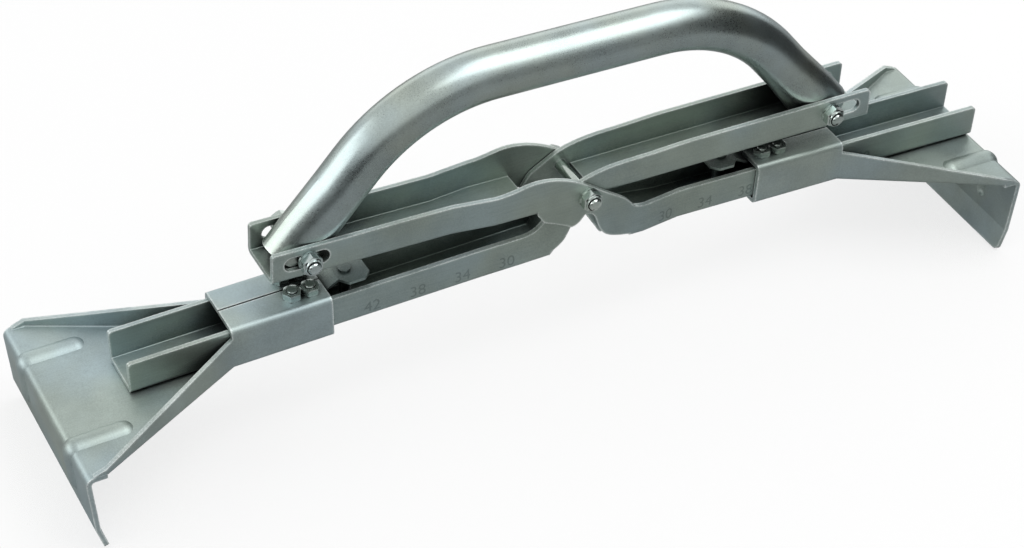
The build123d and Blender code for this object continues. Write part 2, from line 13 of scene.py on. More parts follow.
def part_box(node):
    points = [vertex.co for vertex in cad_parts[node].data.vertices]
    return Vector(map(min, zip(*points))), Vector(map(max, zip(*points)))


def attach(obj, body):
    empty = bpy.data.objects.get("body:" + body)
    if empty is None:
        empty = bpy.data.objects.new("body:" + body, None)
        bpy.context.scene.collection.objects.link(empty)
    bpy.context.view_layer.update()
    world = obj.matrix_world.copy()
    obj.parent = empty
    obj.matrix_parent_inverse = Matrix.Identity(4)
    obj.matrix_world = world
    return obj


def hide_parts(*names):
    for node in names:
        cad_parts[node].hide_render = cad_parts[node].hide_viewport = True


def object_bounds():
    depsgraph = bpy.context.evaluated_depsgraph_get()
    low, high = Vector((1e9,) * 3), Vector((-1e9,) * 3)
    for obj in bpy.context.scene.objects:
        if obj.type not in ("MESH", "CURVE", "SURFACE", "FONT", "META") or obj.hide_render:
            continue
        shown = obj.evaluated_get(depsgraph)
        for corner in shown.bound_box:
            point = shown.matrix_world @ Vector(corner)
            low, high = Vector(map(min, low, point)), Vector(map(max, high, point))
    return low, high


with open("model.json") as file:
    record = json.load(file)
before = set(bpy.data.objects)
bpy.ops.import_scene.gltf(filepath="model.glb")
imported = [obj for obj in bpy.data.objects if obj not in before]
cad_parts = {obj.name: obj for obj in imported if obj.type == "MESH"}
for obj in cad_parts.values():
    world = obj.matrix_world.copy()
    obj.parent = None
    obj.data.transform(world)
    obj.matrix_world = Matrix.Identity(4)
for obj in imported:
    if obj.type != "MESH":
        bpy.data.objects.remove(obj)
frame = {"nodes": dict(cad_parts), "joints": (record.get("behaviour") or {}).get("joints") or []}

bl_info = {
    "name": "Slab lifting clamp",
    "version": (1, 0, 0),
    "blender": (4, 5, 0),
    "location": "3D View > Sidebar > Clamp",
    "description": "Finishes, fasteners, scale numbers and studio of a slab lifting clamp",
    "category": "Object",
}

CAD_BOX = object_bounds()
JOINTS = {joint["name"]: joint for joint in frame["joints"]}
PIVOT = Vector(JOINTS["lever_hinge"]["pos_m"])
SIDES = ("left", "right")
NUT_BODIES = {"pivot": "outer_lever", "left_handle": "left_slider", "right_handle": "handle"}
ARM_LEVERS = {"left": "inner_lever", "right": "outer_lever"}
MM = 0.001


# Sizes and colours that a user would change
class ClampFinish(bpy.types.PropertyGroup):
    lever_colour: FloatVectorProperty(
        name="Levers", description="Zinc on the two levers", subtype="COLOR", min=0, max=1,
        default=(0.338, 0.395, 0.375))
    shoe_colour: FloatVectorProperty(
        name="Shoes", description="Zinc on the two jaw shoes", subtype="COLOR", min=0, max=1,
        default=(0.40, 0.462, 0.454))
    handle_colour: FloatVectorProperty(
        name="Handle", description="Zinc on the handle tube", subtype="COLOR", min=0, max=1,
        default=(0.425, 0.475, 0.455))
    fastener_colour: FloatVectorProperty(
        name="Fasteners", description="Bright zinc on bolts, nuts and washers",
        subtype="COLOR", min=0, max=1, default=(0.56, 0.62, 0.605))
    latch_colour: FloatVectorProperty(
        name="Latches", description="Zinc on the spring leaves, tongues and pins",
        subtype="COLOR", min=0, max=1, default=(0.24, 0.288, 0.274))
    nut_colour: FloatVectorProperty(
        name="Small nuts", description="Zinc on the latch nuts and screws",
        subtype="COLOR", min=0, max=1, default=(0.36, 0.415, 0.40))
    # Bright edge colour: partly rubbed zinc, partly a painted highlight along sharp edges, inner bends and
    # cut faces
    edge_rub_and_highlight_colour: FloatVectorProperty(
        name="Cut edges", description="Bright zinc on cut and rubbed edges", subtype="COLOR", min=0, max=1,
        default=(0.92, 0.97, 0.95))
    insert_colour: FloatVectorProperty(
        name="Nut inserts", description="Plastic ring in the lock nuts", subtype="COLOR", min=0, max=1,
        default=(0.02, 0.024, 0.023))


class ClampNumbers(bpy.types.PropertyGroup):
    first: IntProperty(name="First number", description="Number nearest to the pivot", default=30)
    step: IntProperty(name="Number step", description="Step from one number to the next", default=4)
    count: IntProperty(name="Numbers", description="Numbers on each arm", min=1, default=6)
    start: FloatProperty(
        name="First place", description="Pivot to the middle of the first number", unit="LENGTH",
        default=37.6 * MM)
    pitch: FloatProperty(
        name="Pitch", description="Distance between numbers", unit="LENGTH", default=20 * MM)
    drop: FloatProperty(
        name="Drop", description="Pivot down to the middle of the numbers", unit="LENGTH",
        default=22.9 * MM)
    height: FloatProperty(
        name="Digit height", description="Height of the digits", unit="LENGTH", default=5.2 * MM)
    shift: FloatProperty(
        name="Shift", description="Shift of all the numbers to the right", unit="LENGTH", default=1.9 * MM)


class ClampFasteners(bpy.types.PropertyGroup):
    bolt_diameter: FloatProperty(
        name="Bolt", description="Diameter of the three bolts", unit="LENGTH", default=5 * MM)
    bolt_head: FloatProperty(
        name="Bolt head", description="Height of the hexagon heads", unit="LENGTH", default=3.5 * MM)
    bolt_pitch: FloatProperty(
        name="Bolt thread", description="Pitch of the bolts' thread", unit="LENGTH", default=0.8 * MM)
    bolt_flats: FloatProperty(
        name="Bolt flats", description="Width over the flats of heads and lock nuts", unit="LENGTH",
        default=8 * MM)
    collar_height: FloatProperty(
        name="Collar", description="Height of the lock nuts' round collar", unit="LENGTH", default=1.1 * MM)
    collar_diameter: FloatProperty(
        name="Collar width", description="Diameter of the lock nuts' collar", unit="LENGTH",
        default=7.2 * MM)
    screw_diameter: FloatProperty(
        name="Screw", description="Diameter of the latch screws", unit="LENGTH", default=4 * MM)
    screw_pitch: FloatProperty(
        name="Screw thread", description="Pitch of the screws' thread", unit="LENGTH", default=0.7 * MM)
    screw_end: FloatProperty(
        name="Screw end", description="Screw that stands out of its nut", unit="LENGTH", default=0.8 * MM)
    nut_flats: FloatProperty(
        name="Small nuts", description="Width over the flats of the latch nuts", unit="LENGTH",
        default=7 * MM)
    nut_height: FloatProperty(
        name="Small nut height", description="Height of the latch nuts", unit="LENGTH", default=3.2 * MM)


class ClampStage(bpy.types.PropertyGroup):
    floor_colour: FloatVectorProperty(
        name="Floor", description="Pale floor", subtype="COLOR", min=0, max=1, default=(0.95, 0.95, 0.95))
    camera_place: FloatVectorProperty(
        name="Camera", description="Place of the camera", subtype="TRANSLATION", unit="LENGTH",
        default=(-0.39894, -0.70615, 0.69883))
    azimuth: FloatProperty(
        name="Azimuth", description="Camera's turn round the clamp", subtype="ANGLE",
        default=math.radians(-29.779))
    elevation: FloatProperty(
        name="Elevation", description="Camera's height over the horizon", subtype="ANGLE",
        default=math.radians(39.257))
    roll: FloatProperty(
        name="Roll", description="Camera's turn about its own axis", subtype="ANGLE",
        default=math.radians(2.718))
    lens: FloatProperty(name="Lens", description="Focal length in millimetres", default=88.593)
    shift: FloatVectorProperty(
        name="Shift", description="Shift of the picture, in widths", size=2, default=(-0.03398, -0.01904))
    ambient: FloatProperty(
        name="Ambient", description="Strength of the surrounding light", min=0, default=0.6)


# Samples and ramps of the masks for edges, gaps and cut faces, which carry painted highlight and painted
# shade
BEVEL_SAMPLES = 6
GAP_SAMPLES = 8
EDGE_RAMP = (0.05, 0.24)
GAP_RAMP = (0.63, 0.79)
SHEET_RAMP = (0.2, 0.42)

# Zinc: noise scales per metre, reaches of its masks, tints and shades, among them the painted shade deep in
# gaps
CLOUD_SCALE = 46
TINT_SCALE = 21
SPECK_SCALE = 620
GRAIN_SCALE = 1900
LINE_SCALES = (30, 1500, 1500)
EDGE_RADIUS = 0.5 * MM
SHEET_REACH = 1.5 * MM
GAP_REACH = 30 * MM
GRAIN_DEPTH = 0.03 * MM
OLIVE = (1.0, 1.01, 0.945)
BLUISH = (0.94, 1.0, 1.055)
DULL_SHADE = 0.8
CLEAN_SHADE = 1.2
# Share of the colour left in the painted shade deep in gaps
PAINTED_GAP_SHADE = 0.12
# Darkening of the stamped digits, a painted shade for their recesses
STAMP_PAINTED_SHADE = 0.76
MOTTLE = 0.9
EDGE_METAL_LOSS = 0.4
TONE_RAMP = (0.1, 0.9)
TINT_RAMP = (0.35, 0.65)
SPARKLE_RAMP = (0.38, 0.66)


# Shader maths
class Wire:
    """An output of a shader node. Arithmetic on it adds Math nodes to its finish."""

    def __init__(self, finish, socket):
        self.finish = finish
        self.socket = socket

    def math(self, operation, *values):
        numbers = dict(enumerate(values))
        return self.finish.node("ShaderNodeMath", {"operation": operation}, numbers)

    def __add__(self, other):
        return self.math("ADD", self, other)

    def __radd__(self, other):
        return self.math("ADD", other, self)

    def __sub__(self, other):
        return self.math("SUBTRACT", self, other)

    def __rsub__(self, other):
        return self.math("SUBTRACT", other, self)

    def __mul__(self, other):
        return self.math("MULTIPLY", self, other)

    def __rmul__(self, other):
        return self.math("MULTIPLY", other, self)

    def largest(self, other):
        return self.math("MAXIMUM", self, other)

    def between(self, low, high):
        """0 under low, 1 over high and a smooth ramp between."""
        settings = {"interpolation_type": "SMOOTHSTEP"}
        values = {"Value": self, "From Min": low, "From Max": high, "To Min": 0.0, "To Max": 1.0}
        return self.finish.node("ShaderNodeMapRange", settings, values)


class Finish:
    """A node tree of a material or the world while it is built."""

    def __init__(self, owner):
        owner.use_nodes = True
        self.tree = owner.node_tree
        self.tree.nodes.clear()

    def node(self, kind, settings=None, values=None, output=0):
        """A node of that kind, its settings made first, then the values or links of its sockets."""
        made = self.tree.nodes.new(kind)
        for key, value in (settings or {}).items():
            setattr(made, key, value)
        for key, value in (values or {}).items():
            if isinstance(value, Wire):
                self.tree.links.new(value.socket, made.inputs[key])
            else:
                made.inputs[key].default_value = value
        return Wire(self, made.outputs[output]) if made.outputs else made

    def place(self):
        """The point on the surface in the clamp's own frame."""
        return self.node("ShaderNodeTexCoord", output="Object")

    def stretched(self, scale):
        """That point with each axis scaled."""
        return self.node("ShaderNodeMapping", None, {"Vector": self.place(), "Scale": scale})

    def noise(self, vector, scale, detail=2.0, roughness=0.5):
        values = {"Vector": vector, "Scale": scale, "Detail": detail, "Roughness": roughness}
        return self.node("ShaderNodeTexNoise", None, values)

    def mix(self, factor, first, second):
        """Colour between first and second."""
        return self.node("ShaderNodeMix", {"data_type": "RGBA"}, {0: factor, 6: first, 7: second}, output=2)

    def near_edge(self, radius):
        """0 on flat surfaces, up to 1 beside sharp edges."""
        rounded = self.node("ShaderNodeBevel", {"samples": BEVEL_SAMPLES}, {"Radius": radius})
        normal = self.node("ShaderNodeNewGeometry", output="True Normal")
        vectors = {0: rounded, 1: normal}
        facing = self.node("ShaderNodeVectorMath", {"operation": "DOT_PRODUCT"}, vectors, output="Value")
        return (1.0 - facing).between(*EDGE_RAMP)

    def hollow(self, reach):
        """Mask of the painted shade: 0 in the open, up to 1 deep in gaps and folds."""
        settings = {"samples": GAP_SAMPLES}
        open_share = self.node("ShaderNodeAmbientOcclusion", settings, {"Distance": reach}, output="AO")
        return (1.0 - open_share).between(*GAP_RAMP)

    def thin(self, reach):
        """0 on broad faces, up to 1 on the narrow cut faces of a sheet."""
        settings = {"samples": GAP_SAMPLES, "inside": True, "only_local": True}
        solid_share = self.node("ShaderNodeAmbientOcclusion", settings, {"Distance": reach}, output="AO")
        return (1.0 - solid_share).between(*SHEET_RAMP)

    def surface(self, shader, kind="ShaderNodeOutputMaterial"):
        self.node(kind, None, {"Surface": shader})


def shade(colour, factor):
    """A plain colour made darker or lighter, with full alpha."""
    return (*(min(1.0, channel * factor) for channel in colour), 1.0)


def toned(colour, tint, factor):
    """A plain colour with a slight tint, made darker or lighter."""
    return shade([channel * share for channel, share in zip(colour, tint)], factor)


def zinc(name, colour, rubbed_and_lit_colour, roughness, streaks, rub_and_highlight_share, grit=0.22, metal=0.85):
    """Satin zinc: cloudy tone and tint, fine grain, rolling lines along the clamp, bright edges that are
    partly rubbed zinc and partly painted highlight, and painted shade deep in gaps.
    """
    material = bpy.data.materials.new(name)
    finish = Finish(material)
    place = finish.place()
    cloud = finish.noise(place, CLOUD_SCALE, 4, 0.55)
    grain = finish.noise(place, GRAIN_SCALE, 3, 0.6)
    speck = finish.noise(place, SPECK_SCALE, 2, 0.5)
    lines = finish.noise(finish.stretched(LINE_SCALES), 1, 3, 0.6)
    tone = (cloud - 0.5) * MOTTLE + (grain - 0.5) * MOTTLE + (lines - 0.5) * streaks + 0.5
    tint = finish.noise(place, TINT_SCALE, 3, 0.5).between(*TINT_RAMP)
    dull = finish.mix(tint, toned(colour, OLIVE, DULL_SHADE), toned(colour, BLUISH, DULL_SHADE))
    clean = finish.mix(tint, toned(colour, OLIVE, CLEAN_SHADE), toned(colour, BLUISH, CLEAN_SHADE))
    body = finish.mix(tone.between(*TONE_RAMP), dull, clean)
    sparkle = (grain * 0.6 + cloud * 0.4).between(*SPARKLE_RAMP)
    # Painted highlight and wear: beside sharp edges, in inner bends and on cut faces the colour goes to the
    # bright edge colour
    rubbed_and_lit = finish.near_edge(EDGE_RADIUS) * (0.25 + sparkle * 0.75)
    cut = finish.thin(SHEET_REACH) * (0.15 + sparkle * 0.6)
    edge_rub_and_highlight = rubbed_and_lit.largest(cut) * rub_and_highlight_share
    bright = finish.mix(edge_rub_and_highlight, body, shade(rubbed_and_lit_colour, 1))
    # Painted shade: deep in gaps and folds the colour goes to a dark copy of the zinc, where shade falls
    base = finish.mix(finish.hollow(GAP_REACH), bright, shade(colour, PAINTED_GAP_SHADE))
    rough = roughness + (cloud - 0.5) * 0.16 + (grain - 0.5) * 0.2 - edge_rub_and_highlight * 0.08
    relief = grain * 0.6 + speck * 0.5 + lines * streaks
    settings = {"Strength": grit, "Distance": GRAIN_DEPTH, "Height": relief}
    bump = finish.node("ShaderNodeBump", None, settings)
    values = {
        "Base Color": base,
        "Metallic": metal - edge_rub_and_highlight * EDGE_METAL_LOSS,
        "Roughness": rough,
        "Normal": bump,
    }
    finish.surface(finish.node("ShaderNodeBsdfPrincipled", None, values))
    return material


def plastic(name, colour):
    """Plain moulded plastic with a faint mottle."""
    material = bpy.data.materials.new(name)
    finish = Finish(material)
    mottle = finish.noise(finish.place(), 900, 2, 0.5)
    base = finish.mix(mottle, shade(colour, 0.8), shade(colour, 1.2))
    values = {"Base Color": base, "Roughness": 0.45 + mottle * 0.1}
    finish.surface(finish.node("ShaderNodeBsdfPrincipled", None, values))
    return material


def paint(nodes, material):
    """Gives one material to whole CAD nodes."""
    for name in nodes:
        mesh = frame["nodes"][name].data
        mesh.materials.clear()
        mesh.materials.append(material)


# Meshes
def piece(name, mesh, body):
    """A finished piece that moves with a body."""
    made = bpy.data.objects.new(name, mesh)
    bpy.context.collection.objects.link(made)
    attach(made, body)
    return made


def lathe(rings, segments, close):
    """Mesh through rings of (radius at an angle, height at an angle), capped or joined into a loop."""
    mesh = bmesh.new()
    loops = []
    for radius, height in rings:
        loop = []
        for step in range(segments):
            angle = math.tau * step / segments
            reach = radius(angle)
            loop.append(mesh.verts.new((reach * math.cos(angle), reach * math.sin(angle), height(angle))))
        loops.append(loop)
    pairs = list(zip(loops, loops[1:]))
    if close:
        pairs.append((loops[-1], loops[0]))
    for low, high in pairs:
        for step in range(segments):
            after = (step + 1) % segments
            mesh.faces.new((low[step], low[after], high[after], high[step]))
    if not close:
        mesh.faces.new(reversed(loops[0]))
        mesh.faces.new(loops[-1])
    return mesh


def hexagon(flats):
    """Reach of a hexagon with that width over its flats, at an angle."""
    sixth = math.tau / 6

    def reach(angle):
        return flats / 2 / math.cos((angle + sixth / 2) % sixth - sixth / 2)
    return reach


def steady(value):
    """The same value at every angle."""
    return lambda angle: value


def chamfered(flats, top, slope):
    """Height of a hexagon's rim where a cone takes its corners off."""
    reach = hexagon(flats)
    return lambda angle: top + slope * (reach(angle) - flats / 2)


CHAMFER_SLOPE = math.tan(math.radians(28))
NUT_SEGMENTS = 72
BORE_CHAMFER = 0.3 * MM
FACE_SHARE = 0.47
UNDERSIDE_SHARE = 0.48
HEAD_TOP_SHARE = 0.44
HEAD_EASE = 0.05 * MM
UNDERSIDE_STEP = 0.25 * MM
END_RECESS = 0.35 * MM
END_RECESS_SHARE = 0.55
END_CHAMFER = 0.5 * MM
COLLAR_ROLL = 0.35 * MM
COLLAR_LIP = 0.45 * MM
INSERT_SEAT = 0.7
INSERT_FLOOR = 0.75
INSERT_PLAY = 0.02 * MM
INSERT_WIDTH = 0.44 * MM
INSERT_SINK = 0.35 * MM
INSERT_SLOPE = 0.15 * MM
NUT_PLAY = 0.1 * MM
THREAD_TURNS = 4
THREAD_RIDGE = 0.36
BOLT_THREAD_DEPTH = 0.16 * MM
SCREW_THREAD_DEPTH = 0.1 * MM
BOLT_THREAD_INSET = 0.3 * MM
SCREW_THREAD_INSET = 0.25 * MM


def hexagon_nut(flats, height, bore):
    """Plain nut with both rims chamfered, standing on z = 0."""
    rings = (
        (steady(bore / 2), steady(BORE_CHAMFER)),
        (steady(bore / 2 + BORE_CHAMFER), steady(0)),
        (steady(flats * FACE_SHARE), steady(0)),
        (hexagon(flats), chamfered(flats, 0, CHAMFER_SLOPE)),
        (hexagon(flats), chamfered(flats, height, -CHAMFER_SLOPE)),
        (steady(flats * FACE_SHARE), steady(height)),
        (steady(bore / 2 + BORE_CHAMFER), steady(height)),
        (steady(bore / 2), steady(height - BORE_CHAMFER)),
    )
    return lathe(rings, NUT_SEGMENTS, True)


def lock_nut(flats, height, bore, collar_height, collar_diameter):
    """Nut with a round rolled collar that holds a plastic ring, standing on z = 0."""
    top = height + collar_height
    rim = collar_diameter / 2
    roll = COLLAR_ROLL
    lip = bore / 2 + COLLAR_LIP
    rings = (
        (steady(bore / 2), steady(BORE_CHAMFER)),
        (steady(bore / 2 + BORE_CHAMFER), steady(0)),
        (steady(flats * FACE_SHARE), steady(0)),
        (hexagon(flats), chamfered(flats, 0, CHAMFER_SLOPE)),
        (hexagon(flats), chamfered(flats, height, -CHAMFER_SLOPE)),
        (steady(rim + roll), steady(height)),
        (steady(rim), steady(height + roll)),
        (steady(rim), steady(top - roll)),
        (steady(rim - roll * 0.3), steady(top - roll * 0.3)),
        (steady(rim - roll), steady(top)),
        (steady(lip), steady(top - roll * 0.4)),
        (steady(lip), steady(height * INSERT_SEAT)),
        (steady(bore / 2), steady(height * INSERT_SEAT)),
    )
    return lathe(rings, NUT_SEGMENTS, True)


def insert_ring(bore, height, collar_height):
    """Plastic ring in a lock nut's collar."""
    low = height * INSERT_FLOOR
    high = height + collar_height - INSERT_SINK
    inner = bore / 2 + INSERT_PLAY
    outer = bore / 2 + INSERT_WIDTH
    rings = (
        (steady(inner), steady(low)),
        (steady(outer), steady(low)),
        (steady(outer), steady(high)),
        (steady(inner), steady(high - INSERT_SLOPE)),
    )
    return lathe(rings, NUT_SEGMENTS, True)


def hexagon_bolt(flats, head, diameter, length, end_chamfer):
    """Bolt with a chamfered head on z = 0 and below, its shank upward and a hollow in the shank's end."""
    radius = diameter / 2
    rings = (
        (steady(flats * HEAD_TOP_SHARE), steady(-head)),
        (steady(flats * FACE_SHARE), steady(-head + HEAD_EASE)),
        (hexagon(flats), chamfered(flats, -head + 2 * HEAD_EASE, CHAMFER_SLOPE)),
        (hexagon(flats), steady(-UNDERSIDE_STEP)),
        (steady(flats * UNDERSIDE_SHARE), steady(-UNDERSIDE_STEP)),
        (steady(flats * UNDERSIDE_SHARE), steady(0)),
        (steady(radius), steady(0)),
        (steady(radius), steady(length - end_chamfer)),
        (steady(radius - end_chamfer * 0.8), steady(length)),
        (steady(radius * END_RECESS_SHARE), steady(length - END_RECESS)),
    )
    return lathe(rings, NUT_SEGMENTS, False)


# Node trees that repeat a shape on points
def new_tree(name, sizes):
    """Geometry tree with a geometry input, named inputs for its sizes, and a geometry output."""
    tree = bpy.data.node_groups.new(name, "GeometryNodeTree")
    tree.interface.new_socket("Geometry", in_out="INPUT", socket_type="NodeSocketGeometry")
    for label, kind in sizes.items():
        tree.interface.new_socket(label, in_out="INPUT", socket_type=kind)
    tree.interface.new_socket("Geometry", in_out="OUTPUT", socket_type="NodeSocketGeometry")
    return tree, tree.nodes.new("NodeGroupInput"), tree.nodes.new("NodeGroupOutput")


def finish_tree(tree, source, geometry, target):
    """Makes the instances real and gives them their material."""
    real = tree.nodes.new("GeometryNodeRealizeInstances")
    coat = tree.nodes.new("GeometryNodeSetMaterial")
    tree.links.new(geometry, real.inputs["Geometry"])
    tree.links.new(real.outputs["Geometry"], coat.inputs["Geometry"])
    tree.links.new(source.outputs["Material"], coat.inputs["Material"])
    tree.links.new(coat.outputs["Geometry"], target.inputs["Geometry"])


def copies_tree():
    """A template object on every point."""
    sizes = {
        "Template": "NodeSocketObject",
        "Turn": "NodeSocketRotation",
        "Material": "NodeSocketMaterial",
    }
    tree, source, target = new_tree("clamp_copies", sizes)
    info = tree.nodes.new("GeometryNodeObjectInfo")
    spread = tree.nodes.new("GeometryNodeInstanceOnPoints")
    tree.links.new(source.outputs["Template"], info.inputs["Object"])
    tree.links.new(source.outputs["Geometry"], spread.inputs["Points"])
    tree.links.new(info.outputs["Geometry"], spread.inputs["Instance"])
    tree.links.new(source.outputs["Turn"], spread.inputs["Rotation"])
    finish_tree(tree, source, spread.outputs["Instances"], target)
    return tree


def thread_tree():
    """A screw thread that winds up from every point."""
    sizes = {
        "Radius": "NodeSocketFloat",
        "Pitch": "NodeSocketFloat",
        "Turns": "NodeSocketFloat",
        "Turn": "NodeSocketRotation",
        "Material": "NodeSocketMaterial",
    }
    tree, source, target = new_tree("clamp_thread", sizes)
    helix = tree.nodes.new("GeometryNodeCurveSpiral")
    helix.inputs["Resolution"].default_value = 40
    rise = tree.nodes.new("ShaderNodeMath")
    rise.operation = "MULTIPLY"
    ridge = tree.nodes.new("ShaderNodeMath")
    ridge.operation = "MULTIPLY"
    ridge.inputs[1].default_value = THREAD_RIDGE
    profile = tree.nodes.new("GeometryNodeCurvePrimitiveCircle")
    profile.inputs["Resolution"].default_value = 4
    sweep = tree.nodes.new("GeometryNodeCurveToMesh")
    sweep.inputs["Fill Caps"].default_value = True
    spread = tree.nodes.new("GeometryNodeInstanceOnPoints")
    links = (
        (source.outputs["Radius"], helix.inputs["Start Radius"]),
        (source.outputs["Radius"], helix.inputs["End Radius"]),
        (source.outputs["Turns"], helix.inputs["Rotations"]),
        (source.outputs["Pitch"], rise.inputs[0]),
        (source.outputs["Turns"], rise.inputs[1]),
        (rise.outputs[0], helix.inputs["Height"]),
        (source.outputs["Pitch"], ridge.inputs[0]),
        (ridge.outputs[0], profile.inputs["Radius"]),
        (helix.outputs["Curve"], sweep.inputs["Curve"]),
        (profile.outputs["Curve"], sweep.inputs["Profile Curve"]),
        (source.outputs["Geometry"], spread.inputs["Points"]),
        (sweep.outputs["Mesh"], spread.inputs["Instance"]),
        (source.outputs["Turn"], spread.inputs["Rotation"]),
    )
    for start, end in links:
        tree.links.new(start, end)
    finish_tree(tree, source, spread.outputs["Instances"], target)
    return tree


def on_points(tree, points, sizes):
    """Plain mesh that a tree makes on points."""
    seeds = bpy.data.meshes.new("seeds")
    seeds.from_pydata(points, [], [])
    carrier = bpy.data.objects.new("carrier", seeds)
    bpy.context.collection.objects.link(carrier)
    modifier = carrier.modifiers.new("clamp", "NODES")
    modifier.node_group = tree
    for item in tree.interface.items_tree:
        if item.in_out == "INPUT" and item.name in sizes:
            modifier[item.identifier] = sizes[item.name]
    bpy.context.view_layer.update()
    evaluated = carrier.evaluated_get(bpy.context.evaluated_depsgraph_get())
    mesh = bpy.data.meshes.new_from_object(evaluated)
    bpy.data.objects.remove(carrier)
    return mesh


def template(name, shape):
    """Hidden object that holds a shape for the copies tree, with its faces pointing outwards."""
    bmesh.ops.remove_doubles(shape, verts=shape.verts, dist=MM / 1000)
    bmesh.ops.recalc_face_normals(shape, faces=shape.faces)
    mesh = bpy.data.meshes.new(name)
    shape.to_mesh(mesh)
    shape.free()
    return bpy.data.objects.new(name, mesh)


def crisp(mesh):
    """Smooth shading that keeps edges over 30 degrees sharp."""
    mesh.shade_smooth()
    mesh.set_sharp_from_angle(angle=math.radians(30))


# Operators, one for each group of pieces
class CLAMP_OT_levers(bpy.types.Operator):
    """Zinc on the two folded levers"""

    bl_idname = "clamp.levers"
    bl_label = "Levers"

    def execute(self, context):
        look = context.scene.clamp_finish
        finish = zinc(
            "lever_zinc", look.lever_colour, look.edge_rub_and_highlight_colour,
            roughness=0.40, streaks=0.35, rub_and_highlight_share=1.0, grit=0.25, metal=0.77)
        paint(("outer_lever", "inner_lever"), finish)
        return {"FINISHED"}


class CLAMP_OT_shoes(bpy.types.Operator):
    """Zinc on the two jaw shoes"""

    bl_idname = "clamp.shoes"
    bl_label = "Shoes"

    def execute(self, context):
        look = context.scene.clamp_finish
        finish = zinc(
            "shoe_zinc", look.shoe_colour, look.edge_rub_and_highlight_colour,
            roughness=0.45, streaks=0.15, rub_and_highlight_share=1.0, grit=0.3, metal=0.82)
        paint([f"{side}_shoe" for side in SIDES], finish)
        return {"FINISHED"}


class CLAMP_OT_handle(bpy.types.Operator):
    """Zinc on the handle tube"""

    bl_idname = "clamp.handle"
    bl_label = "Handle"

    def execute(self, context):
        look = context.scene.clamp_finish
        finish = zinc(
            "handle_zinc", look.handle_colour, look.edge_rub_and_highlight_colour,
            roughness=0.30, streaks=0.2, rub_and_highlight_share=0.6, grit=0.5, metal=0.97)
        paint(("handle_tube",), finish)
        return {"FINISHED"}


class CLAMP_OT_latches(bpy.types.Operator):
    """Zinc on the spring leaves, tongues and pins"""

    bl_idname = "clamp.latches"
    bl_label = "Latches"

    def execute(self, context):
        look = context.scene.clamp_finish
        pieces = [f"{side}_latch_{part}" for side in SIDES for part in ("leaf", "tongue", "pin")]
        finish = zinc(
            "latch_zinc", look.latch_colour, look.edge_rub_and_highlight_colour, roughness=0.36, streaks=0.2, rub_and_highlight_share=0.12)
        paint(pieces, finish)
        return {"FINISHED"}


class CLAMP_OT_bolts(bpy.types.Operator):
    """Bolts with threads, lock nuts with plastic rings, and washers"""

    bl_idname = "clamp.bolts"
    bl_label = "Bolts and lock nuts"

    def execute(self, context):
        look = context.scene.clamp_finish
        sizes = context.scene.clamp_fasteners
        bright = zinc(
            "fastener_zinc", look.fastener_colour, look.edge_rub_and_highlight_colour,
            roughness=0.15, streaks=0.1, rub_and_highlight_share=0.2, grit=0.2, metal=1.0)
        ring = plastic("nut_insert", look.insert_colour)
        paint([f"{name}_washers" for name in NUT_BODIES], bright)
        copies = copies_tree()
        threads = thread_tree()
        forward = Matrix.Rotation(math.radians(90), 3, "X").to_euler()
        for name, body in NUT_BODIES.items():
            low, high = (Vector(corner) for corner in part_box(f"{name}_bolt"))
            nut_low, nut_high = (Vector(corner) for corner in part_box(f"{name}_nut"))
            middle = (nut_low + nut_high) / 2
            under_head = Vector((middle.x, high.y - sizes.bolt_head, middle.z))
            under_nut = Vector((middle.x, nut_high.y, middle.z))
            length = under_head.y - low.y
            hexagon_height = nut_high.y - nut_low.y - sizes.collar_height
            bore = sizes.bolt_diameter + NUT_PLAY
            collar = (sizes.collar_height, sizes.collar_diameter)
            shapes = {
                "bolt": (under_head, bright, hexagon_bolt(
                    sizes.bolt_flats, sizes.bolt_head, sizes.bolt_diameter, length, END_CHAMFER)),
                "nut": (under_nut, bright, lock_nut(sizes.bolt_flats, hexagon_height, bore, *collar)),
                "insert": (under_nut, ring, insert_ring(bore, hexagon_height, sizes.collar_height)),
            }
            for part, (place, material, shape) in shapes.items():
                pattern = template(f"{name}_{part}_template", shape)
                values = {"Template": pattern, "Turn": forward, "Material": material}
                mesh = on_points(copies, [place], values)
                bpy.data.objects.remove(pattern)
                crisp(mesh)
                made = piece(f"{name}_{part}_detail", mesh, body)
                if part != "insert":
                    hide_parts(f"{name}_{part}")
            start = Vector((
                middle.x, low.y + THREAD_TURNS * sizes.bolt_pitch + BOLT_THREAD_INSET, middle.z))
            values = {
                "Radius": sizes.bolt_diameter / 2 - BOLT_THREAD_DEPTH, "Pitch": sizes.bolt_pitch,
                "Turns": float(THREAD_TURNS), "Turn": forward, "Material": bright,
            }
            mesh = on_points(threads, [start], values)
            crisp(mesh)
            piece(f"{name}_bolt_thread", mesh, body)
        return {"FINISHED"}


